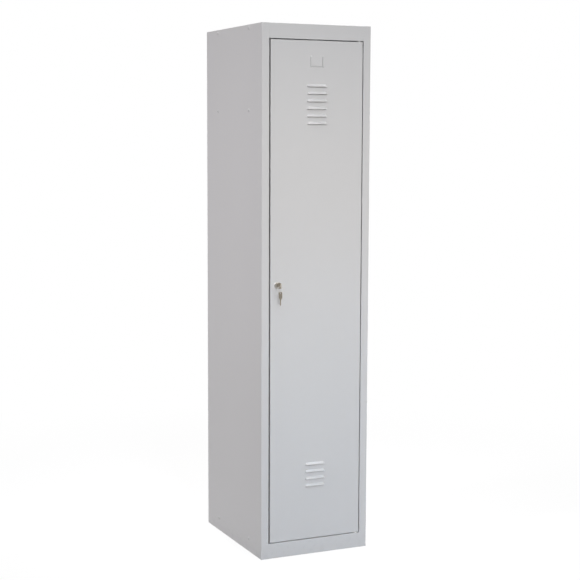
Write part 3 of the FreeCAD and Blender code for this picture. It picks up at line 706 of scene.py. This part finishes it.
@dataclass
class Rivets(SubAssembly):
    """Painted blind rivets, modelled once and copied to every place."""

    head_radius: float = 6.5 * MM
    head_rise: float = 2.2 * MM
    mandrel_radius: float = 2.2 * MM
    mandrel_depth: float = 1.0 * MM
    pit_rim: float = mandrel_radius / 6
    stub_radius: float = 1.75 * MM
    stub_rise: float = 0.3 * MM
    stub_round: float = 0.12 * MM
    tail_radius: float = 3.6 * MM
    tail_rise: float = 1.2 * MM
    side_grip: float = 1.7 * MM
    back_grip: float = 1.6 * MM
    rail_grip: float = 2.8 * MM
    back_rows: int = 4
    rings: int = 4
    dome_sides: int = 28
    stub_sides: int = 16
    smooth_degrees: float = 50.0
    stubs: List[bpy.types.Object] = field(default_factory=list)

    def dome(self, radius: float, rise: float, name: str) -> bpy.types.Object:
        """Model a shallow dome that stands on z = 0.

        Args:
            radius: Radius of its foot.
            rise: Its height.
            name: Name of the object.

        Returns:
            The dome as a closed object, its crown face selected.
        """
        ball = (radius ** 2 + rise ** 2) / (2 * rise)
        whole_turn = math.asin(radius / ball)
        bpy.ops.object.select_all(action="DESELECT")
        bpy.ops.mesh.primitive_circle_add(vertices=self.dome_sides, radius=radius, fill_type="NGON")
        obj = bpy.context.object
        bpy.ops.object.mode_set(mode="EDIT")
        bpy.ops.mesh.select_mode(type="FACE")
        bpy.ops.mesh.select_all(action="SELECT")
        at_radius = radius
        at_rise = 0.0
        for i in range(1, self.rings + 1):
            turn = whole_turn * (1 - i / (self.rings + 1))
            next_radius = ball * math.sin(turn)
            next_rise = rise - ball * (1 - math.cos(turn))
            step = (0, 0, next_rise - at_rise)
            bpy.ops.mesh.extrude_region_move(TRANSFORM_OT_translate={"value": step})
            share = next_radius / at_radius
            bpy.ops.transform.resize(value=(share, share, 1))
            at_radius = next_radius
            at_rise = next_rise
        obj.name = name
        return obj

    def model(self, grip: float) -> bpy.types.Object:
        """Model one rivet with its head on z = 0 and its tail below the sheets.

        Args:
            grip: Thickness of the riveted sheets.

        Returns:
            The rivet.
        """
        self.dome(self.head_radius, self.head_rise, "rivet_head")
        crown = self.head_radius / (self.rings + 1)
        share = self.mandrel_radius / crown
        bpy.ops.transform.resize(value=(share, share, 1))
        bpy.ops.mesh.inset(thickness=self.pit_rim)
        bpy.ops.mesh.extrude_region_move(TRANSFORM_OT_translate={"value": (0, 0, -self.mandrel_depth)})
        head = Bench.done("rivet_head")
        tail = self.dome(self.tail_radius, self.tail_rise, "rivet_tail")
        bpy.ops.object.mode_set(mode="OBJECT")
        tail.matrix_world = Matrix.Translation((0, 0, -grip)) @ Matrix.Rotation(math.pi, 4, "X")
        Bench.take(tail)
        tail = Bench.done("rivet_tail")
        rivet = Bench.join([head, tail], "rivet")
        Bench.outward(rivet)
        return rivet

    def stub(self) -> bpy.types.Object:
        """Model the broken end of a mandrel, standing in the pit of a rivet's head.

        Returns:
            The mandrel's end.
        """
        middle = self.head_rise - self.mandrel_depth
        bpy.ops.object.select_all(action="DESELECT")
        bpy.ops.mesh.primitive_cylinder_add(
            vertices=self.stub_sides,
            radius=self.stub_radius,
            depth=2 * self.stub_rise,
            location=(0, 0, middle),
        )
        stub = Bench.done("stub")
        Bench.bevel(stub, self.stub_round)
        return stub

    def place_set(self, node: str, grip: float, outward: Sequence[Tuple[Vector, Vector]]) -> None:
        """Copy the rivet to the places of one CAD node.

        Args:
            node: CAD node that the set replaces.
            grip: Thickness of the riveted sheets.
            outward: Points under the heads and the directions that the heads face.
        """
        model = self.model(grip)
        stub = self.stub()
        copies = []
        for point, direction in outward:
            turn = direction.to_track_quat("Z", "Y").to_matrix().to_4x4()
            place = Matrix.Translation(point) @ turn
            copies.append(Bench.copy_at(model, place, "rivet_copy"))
            self.stubs.append(Bench.copy_at(stub, place, "stub_copy"))
        bpy.data.objects.remove(model)
        bpy.data.objects.remove(stub)
        piece = Bench.join(copies, f"{node}_domed")
        Bench.smooth(piece, self.smooth_degrees)
        self.settle(piece, Body.CABINET, Slot.GREY_PAINT, [node])

    def build(self) -> None:
        """Build all rivet sets where the frame has them."""
        for node in ("top_rivets", "shelf_rivets", "floor_rivets"):
            low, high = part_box(node)
            x = high.x - self.head_rise
            z = (low.z + high.z) / 2
            ends = (low.y + self.head_radius, high.y - self.head_radius)
            spots = [(Vector((i * x, y, z)), Vector((i, 0, 0))) for i in (-1, 1) for y in ends]
            self.place_set(node, self.side_grip, spots)
        low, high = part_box("back_rivets")
        first = low.z + self.head_radius
        step = (high.z - self.head_radius - first) / (self.back_rows - 1)
        x = high.x - self.head_radius
        y = high.y - self.head_rise
        rows = [first + step * i for i in range(self.back_rows)]
        spots = [(Vector((i * x, y, z)), Vector((0, 1, 0))) for i in (-1, 1) for z in rows]
        self.place_set("back_rivets", self.back_grip, spots)
        low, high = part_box("rail_rivets")
        x = high.x - self.head_radius
        y = high.y - self.head_radius
        z = high.z - self.head_rise
        spots = [(Vector((i * x, j * y, z)), Vector((0, 0, 1))) for i in (-1, 1) for j in (-1, 1)]
        self.place_set("rail_rivets", self.rail_grip, spots)
        piece = Bench.join(self.stubs, "rivet_mandrels")
        Bench.smooth(piece)
        self.settle(piece, Body.CABINET, Slot.ZINC)
        # The mandrel ends get the near-black steel, which partly stands in for painted shade in the rivet
        # pits.
        piece.data.materials[0] = self.shop.mandrel_steel_and_pit_shade


@dataclass
class Interior(SubAssembly):
    """Hat shelf and hanging rail."""

    cap_round: float = 0.8 * MM
    bracket_round: float = 0.3 * MM

    def build(self) -> None:
        """Keep the shelf and finish the rail and its brackets."""
        self.keep("shelf")
        self.finish_nodes(Body.CABINET, Slot.ZINC, 0.0, "hanging_rail")
        self.finish_nodes(Body.CABINET, Slot.BLACK_PLASTIC, self.cap_round, "rail_end_caps")
        brackets = ("left_rail_bracket", "right_rail_bracket")
        self.finish_nodes(Body.CABINET, Slot.GREY_PAINT, self.bracket_round, *brackets)


@dataclass
class DoorLeaf(SubAssembly):
    """Door with its pressed hoods, stiffener, welds and pivots."""

    pin_round: float = 0.2 * MM
    bracket_round: float = 0.3 * MM
    weld_radius: float = 2.6 * MM
    weld_rise: float = 0.18 * MM
    weld_sides: int = 20
    weld_rim: float = 0.18
    weld_dish: float = 0.3
    weld_sink: float = 0.7
    weld_rows: int = 9
    weld_end: float = 25.0 * MM
    foot_width: float = 14.0 * MM
    sheet: float = 0.8 * MM
    facing_up: float = 0.9
    smooth_degrees: float = 60.0

    def weld(self) -> bpy.types.Object:
        """Model one spot weld: a low ring with a dished middle, facing +Y at the origin.

        Returns:
            The weld.
        """
        bpy.ops.object.select_all(action="DESELECT")
        bpy.ops.mesh.primitive_cylinder_add(
            vertices=self.weld_sides, radius=self.weld_radius, depth=self.weld_rise
        )
        obj = bpy.context.object
        Bench.pick(obj, lambda normal: normal.z > self.facing_up)
        bpy.ops.mesh.inset(thickness=self.weld_radius * self.weld_rim)
        bpy.ops.mesh.inset(thickness=self.weld_radius * self.weld_dish)
        bpy.ops.transform.translate(value=(0, 0, -self.weld_rise * self.weld_sink))
        bpy.ops.object.mode_set(mode="OBJECT")
        obj.rotation_euler = (-math.pi / 2, 0, 0)
        obj.location = (0, self.weld_rise / 2, 0)
        return Bench.done("weld")

    def stiffener_welds(self) -> None:
        """Put rows of spot welds on both feet of the stiffener."""
        low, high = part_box("door_stiffener")
        model = self.weld()
        step = (high.z - low.z - 2 * self.weld_end) / (self.weld_rows - 1)
        copies = []
        for side in (-1, 1):
            x = side * (high.x - self.foot_width / 2)
            for i in range(self.weld_rows):
                point = Vector((x, low.y + self.sheet, low.z + self.weld_end + step * i))
                copies.append(Bench.copy_at(model, Matrix.Translation(point), "weld_copy"))
        bpy.data.objects.remove(model)
        piece = Bench.join(copies, "stiffener_welds")
        Bench.smooth(piece, self.smooth_degrees)
        self.settle(piece, Body.DOOR, Slot.GREY_PAINT)

    def build(self) -> None:
        """Finish the door and what is fixed to it."""
        self.finish_nodes(Body.DOOR, Slot.GREY_PAINT, 0.0, "door_panel")
        self.keep("door_stiffener")
        self.stiffener_welds()
        brackets = ("upper_pivot_bracket", "lower_pivot_bracket")
        self.finish_nodes(Body.DOOR, Slot.GREY_PAINT, self.bracket_round, *brackets)
        pins = ("upper_pivot_pin", "lower_pivot_pin", "thrust_washer")
        self.finish_nodes(Body.DOOR, Slot.ZINC, self.pin_round, *pins)


@dataclass
class CamLock(SubAssembly):
    """Cam lock with its barrel thread, nut, plug, cam and screw."""

    edge_round: float = 0.15 * MM
    nut_round: float = 0.45 * MM
    thread_pitch: float = 1.25 * MM
    thread_rise: float = 0.22 * MM
    thread_margin: float = 0.8 * MM
    thread_half: float = thread_pitch * 0.4
    thread_bite: float = thread_rise * 0.2
    thread_steps: int = 36
    barrel_radius: float = 9.0 * MM
    barrel_flat: float = 8.0 * MM

    def thread(self) -> None:
        """Wind the ridge of the barrel's thread behind the nut and cut it at the flats."""
        _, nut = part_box("lock_nut")
        low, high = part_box("lock_housing")
        axis = Vector(((low.x + high.x) / 2, 0, (low.z + high.z) / 2))
        start = nut.y + self.thread_margin
        run = high.y - self.thread_margin - start
        bpy.ops.object.select_all(action="DESELECT")
        bpy.ops.mesh.primitive_circle_add(vertices=3, radius=self.thread_half, fill_type="NOTHING")
        obj = bpy.context.object
        bpy.ops.object.mode_set(mode="EDIT")
        bpy.ops.mesh.select_all(action="SELECT")
        bpy.ops.transform.rotate(value=math.pi / 2, orient_axis="Z", center_override=(0, 0, 0))
        bpy.ops.transform.resize(value=(self.thread_rise / self.thread_half, 1, 1))
        bpy.ops.transform.translate(value=(self.barrel_radius - self.thread_bite, 0, 0))
        bpy.ops.object.mode_set(mode="OBJECT")
        steps = round(self.thread_steps * run / self.thread_pitch)
        settings = {
            "axis": "Y",
            "angle": 2 * math.pi * run / self.thread_pitch,
            "screw_offset": run,
            "steps": steps,
            "render_steps": steps,
            "use_smooth_shade": False,
        }
        Bench.apply(obj, "SCREW", settings)
        for side in (-1, 1):
            bpy.ops.object.mode_set(mode="EDIT")
            bpy.ops.mesh.select_all(action="SELECT")
            plane = {"plane_co": (side * self.barrel_flat, 0, 0), "plane_no": (side, 0, 0)}
            bpy.ops.mesh.bisect(**plane, clear_outer=True, use_fill=True)
            bpy.ops.object.mode_set(mode="OBJECT")
        obj.location = (axis.x, start, axis.z)
        piece = Bench.done("barrel_thread")
        Bench.close(piece)
        Bench.smooth(piece)
        self.settle(piece, Body.DOOR, Slot.CHROME)

    def build(self) -> None:
        """Finish the lock's parts on the door and on its turning core."""
        self.finish_nodes(Body.DOOR, Slot.CHROME, self.edge_round, "lock_housing")
        self.thread()
        self.finish_nodes(Body.DOOR, Slot.ZINC, self.edge_round, "lock_washer")
        self.finish_nodes(Body.DOOR, Slot.ZINC, self.nut_round, "lock_nut")
        self.finish_nodes(Body.LOCK_CORE, Slot.CHROME, self.edge_round, "lock_plug")
        core = ("stop_washer", "lock_cam", "cam_washer", "cam_screw")
        self.finish_nodes(Body.LOCK_CORE, Slot.ZINC, self.edge_round, *core)
        self.keep("lock_wafers")


@dataclass
class KeyBunch(SubAssembly):
    """Key in the lock, split ring and spare key."""

    key_round: float = 0.25 * MM
    groove_width: float = 1.3 * MM
    groove_depth: float = 0.4 * MM
    panel_depth: float = 0.25 * MM
    panel_length: float = 8.5 * MM
    panel_width: float = 13.0 * MM
    panel_from_shoulder: float = 8.5 * MM
    tool_round: float = 0.2 * MM
    key_thick: float = 1.6 * MM
    blade_length: float = 19.0 * MM
    spare_turn: float = math.radians(10.0)
    ring_turns: float = 1.94
    ring_half_thick: float = 0.2 * MM
    ring_half_wide: float = 0.6 * MM
    ring_corner: float = ring_half_thick * 0.8
    ring_corner_faces: int = 3
    ring_smooth: float = 40.0
    ring_gap: float = 0.05 * MM
    ring_steps: int = 120

    def bar(self, middle: Vector, size: Vector) -> bpy.types.Object:
        """Model a bar with rounded edges that is used to cut.

        Args:
            middle: Its middle.
            size: Its lengths along the axes.

        Returns:
            The bar.
        """
        bpy.ops.object.select_all(action="DESELECT")
        bpy.ops.mesh.primitive_cube_add(size=1, location=middle)
        bpy.context.object.scale = size
        bar = Bench.done("bar")
        Bench.bevel(bar, self.tool_round)
        return bar

    def key(self, node: str, body: Body, along: Vector, shoulder: Vector, turn: float = 0.0) -> None:
        """Finish one key with a pressed panel in its bow and grooves in its blade.

        Args:
            node: CAD node of the key.
            body: Body that the key rides on.
            along: Direction from the shoulder to the bow.
            shoulder: Middle of the shoulder.
            turn: Angle of the key about the upright line through its shoulder.
        """
        obj = Bench.refined(node, self.key_round)
        across = Vector((1, 0, 0)).cross(along)
        tools = []
        for side in (-1, 1):
            face = shoulder + Vector((side * self.key_thick / 2, 0, 0))
            groove = face - along * (self.blade_length / 2)
            size = Vector((2 * self.groove_depth, 0, 0)) + self.spread(along, self.blade_length)
            tools.append(self.bar(groove, size + self.spread(across, self.groove_width)))
            panel = face + along * (self.panel_from_shoulder + self.panel_length / 2)
            size = Vector((2 * self.panel_depth, 0, 0)) + self.spread(along, self.panel_length)
            tools.append(self.bar(panel, size + self.spread(across, self.panel_width)))
        about = Matrix.Translation(shoulder)
        for tool in tools:
            tool.matrix_world = about @ Matrix.Rotation(turn, 4, "Z") @ about.inverted()
        Bench.cut(obj, tools)
        Bench.smooth(obj)
        self.settle(obj, body, Slot.NICKEL, [node])

    @staticmethod
    def spread(direction: Vector, length: float) -> Vector:
        """Lengths along the axes of a bar that runs in a direction."""
        return Vector([abs(part) * length for part in direction])

    def ring(self) -> None:
        """Wind a split ring of flat wire, two turns side by side."""
        low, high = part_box("key_ring")
        centre = (low + high) / 2
        wire = (high.y - low.y) / 2
        radius = (high.x - low.x) / 2 - wire
        bpy.ops.object.select_all(action="DESELECT")
        bpy.ops.mesh.primitive_plane_add(size=2)
        obj = bpy.context.object
        bpy.ops.object.mode_set(mode="EDIT")
        bpy.ops.mesh.select_all(action="SELECT")
        bpy.ops.transform.resize(value=(self.ring_half_wide, self.ring_half_thick, 1))
        corners = {"offset": self.ring_corner, "segments": self.ring_corner_faces}
        bpy.ops.mesh.bevel(**corners, affect="VERTICES")
        bpy.ops.mesh.select_all(action="SELECT")
        bpy.ops.mesh.delete(type="ONLY_FACE")
        bpy.ops.mesh.select_all(action="SELECT")
        offset = (2 * self.ring_half_thick + self.ring_gap) * self.ring_turns
        bpy.ops.transform.translate(value=(radius, -offset / 2, 0))
        bpy.ops.object.mode_set(mode="OBJECT")
        settings = {
            "axis": "Y",
            "angle": 2 * math.pi * self.ring_turns,
            "screw_offset": offset,
            "steps": self.ring_steps,
            "render_steps": self.ring_steps,
        }
        Bench.apply(obj, "SCREW", settings)
        obj.location = centre
        piece = Bench.done("split_ring")
        Bench.close(piece)
        Bench.smooth(piece, self.ring_smooth)
        self.settle(piece, Body.RING, Slot.NICKEL, ["key_ring"])
        piece.data.materials[0] = self.shop.ring_plate

    def build(self) -> None:
        """Build both keys and the ring."""
        low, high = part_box("key_in_lock")
        middle = (low + high) / 2
        shoulder = Vector((middle.x, high.y - self.blade_length, middle.z))
        self.key("key_in_lock", Body.KEY, Vector((0, -1, 0)), shoulder)
        low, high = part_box("spare_key")
        middle = (low + high) / 2
        shoulder = Vector((middle.x, middle.y, low.z + self.blade_length))
        self.key("spare_key", Body.SPARE, Vector((0, 0, 1)), shoulder, self.spare_turn)
        self.ring()


# Studio


@dataclass
class SoftBox:
    """One soft area light."""

    name: str
    place: Tuple[float, float, float]
    target: Tuple[float, float, float]
    size: Tuple[float, float]
    power: float
    colour: Colour
    spread: float

    def build(self) -> None:
        """Add the light and aim it."""
        bpy.ops.object.light_add(type="AREA", location=self.place)
        lamp = bpy.context.object
        lamp.name = self.name
        aim = Vector(self.target) - Vector(self.place)
        lamp.rotation_euler = aim.to_track_quat("-Z", "Y").to_euler()
        lamp.data.shape = "RECTANGLE"
        lamp.data.size, lamp.data.size_y = self.size
        lamp.data.spread = math.radians(self.spread)
        lamp.data.energy = self.power
        lamp.data.color = self.colour


@dataclass
class Studio:
    """Camera of the photograph, pale floor, white surroundings and soft light."""

    azimuth: float = -24.459
    elevation: float = 6.524
    roll: float = 0.207
    lens: float = 84.43
    sensor: float = 36.0
    clip_end: float = 200.0
    eye: Tuple[float, float, float] = (-1.9728, -4.3756, 1.4377)
    floor_size: float = 60.0
    ambient: float = 0.5
    horizon: float = 0.35
    zenith: float = 1.3
    floor_grey: float = 0.42
    floor_glow: float = 0.86
    floor_fade: Tuple[float, float] = (0.5, 2.5)
    lights: List[SoftBox] = field(default_factory=lambda: [
        SoftBox(
            "far_light", (-0.8, -6.5, 4.8), (0.0, -0.25, 1.05),
            (1.6, 1.6), 12.7, (0.93, 0.95, 1.0), 34.0,
        ),
        SoftBox(
            "key_light", (0.7, -2.5, 1.9), (-0.05, -0.25, 0.85),
            (0.9, 0.9), 1.45, (1.0, 0.89, 0.74), 55.0,
        ),
        SoftBox(
            "low_light", (0.2, -2.4, 2.0), (0.0, -0.25, 0.12),
            (0.8, 0.4), 0.68, (0.44, 0.70, 1.0), 40.0,
        ),
        SoftBox(
            "side_light", (-4.6, -0.4, 5.2), (-0.2, 0.0, 1.05),
            (1.0, 1.0), 6.0, (1.0, 0.935, 0.97), 31.0,
        ),
        SoftBox(
            "right_light", (6.0, 0.4, 3.0), (0.2, 0.0, 1.05),
            (1.6, 1.6), 9.5, (1.0, 0.97, 1.0), 40.0,
        ),
        SoftBox(
            "back_light", (0.8, 6.5, 4.8), (0.0, 0.25, 1.05),
            (1.6, 1.6), 14.0, (1.0, 0.97, 0.95), 34.0,
        ),
    ])

    def camera(self) -> None:
        """Place the camera that the photograph was taken with."""
        azimuth = math.radians(self.azimuth)
        rise = math.radians(self.elevation)
        roll = math.radians(self.roll)
        flat = math.cos(rise)
        back = Vector((math.sin(azimuth) * flat, -math.cos(azimuth) * flat, math.sin(rise)))
        level = (-back).cross(Vector((0, 0, 1))).normalized()
        upright = level.cross(-back)
        right = math.cos(roll) * level + math.sin(roll) * upright
        up = math.cos(roll) * upright - math.sin(roll) * level
        bpy.ops.object.camera_add(location=self.eye)
        camera = bpy.context.object
        camera.name = "photo_camera"
        turn = Matrix((right, up, back)).transposed().to_4x4()
        camera.matrix_world = Matrix.Translation(self.eye) @ turn
        camera.data.sensor_width = self.sensor
        camera.data.lens = self.lens
        camera.data.clip_end = self.clip_end
        bpy.context.scene.camera = camera

    def seen_directly(self, sheet: ShaderSheet) -> Signal:
        """Mask that is 1 for rays from the camera and for mirrored or refracted ones."""
        camera = sheet.node("ShaderNodeLightPath", out="Is Camera Ray")
        glossy = Signal(sheet, camera.socket.node.outputs["Is Glossy Ray"])
        through = Signal(sheet, camera.socket.node.outputs["Is Transmission Ray"])
        return camera + glossy + through

    def floor(self) -> None:
        """Lay a wide pale floor that looks white and keeps a soft shadow."""
        bpy.ops.mesh.primitive_plane_add(size=self.floor_size)
        obj = bpy.context.object
        obj.name = "studio_floor"
        sheet, material = ShaderSheet.of_material("studio_floor")
        grey = (self.floor_grey, self.floor_grey, self.floor_grey, 1.0)
        bounce = sheet.node("ShaderNodeBsdfDiffuse", None, {"Color": grey})
        pale = sheet.node("ShaderNodeBsdfDiffuse", None, {"Color": WHITE})
        glow = sheet.node("ShaderNodeEmission", None, {"Strength": 1.0})
        away = sheet.node("ShaderNodeVectorMath", {"operation": "LENGTH"}, {0: sheet.place()}, out="Value")
        share = self.floor_glow + sheet.ramp(away, *self.floor_fade) * (1.0 - self.floor_glow)
        shown = sheet.node("ShaderNodeMixShader", None, {0: share, 1: pale, 2: glow})
        whole = sheet.node("ShaderNodeMixShader", None, {0: self.seen_directly(sheet), 1: bounce, 2: shown})
        sheet.node("ShaderNodeOutputMaterial", None, {"Surface": whole})
        obj.data.materials.append(material)

    def surroundings(self) -> None:
        """Make the world white to look at and softer as a light."""
        world = bpy.data.worlds.new("studio")
        bpy.context.scene.world = world
        world.use_nodes = True
        sheet = ShaderSheet(world.node_tree)
        direction = sheet.node("ShaderNodeTexCoord", out="Generated")
        rise = sheet.node("ShaderNodeSeparateXYZ", None, {0: direction}, out="Z")
        above = sheet.node("ShaderNodeMath", {"operation": "MAXIMUM"}, {0: rise, 1: 0.0})
        level = self.ambient * (self.horizon + above * (self.zenith - self.horizon))
        light = sheet.node("ShaderNodeBackground", None, {"Color": WHITE, "Strength": level})
        white = sheet.node("ShaderNodeBackground", None, {"Color": WHITE, "Strength": 1.0})
        mixed = sheet.node("ShaderNodeMixShader", None, {0: self.seen_directly(sheet), 1: light, 2: white})
        sheet.node("ShaderNodeOutputWorld", None, {"Surface": mixed})

    def build(self) -> None:
        """Set up the whole studio."""
        bpy.context.scene.view_settings.view_transform = "Standard"
        self.camera()
        self.floor()
        self.surroundings()
        for light in self.lights:
            light.build()


def main() -> None:
    """Build every sub-assembly and the studio in order."""
    logging.basicConfig(level=logging.INFO, format="%(message)s")
    shop = PaintShop()
    for group in (Carcass, Rivets, Interior, DoorLeaf, CamLock, KeyBunch):
        log.info("building %s", group.__name__)
        group(shop).build()
    Studio().build()


if __name__ == "__main__":
    main()
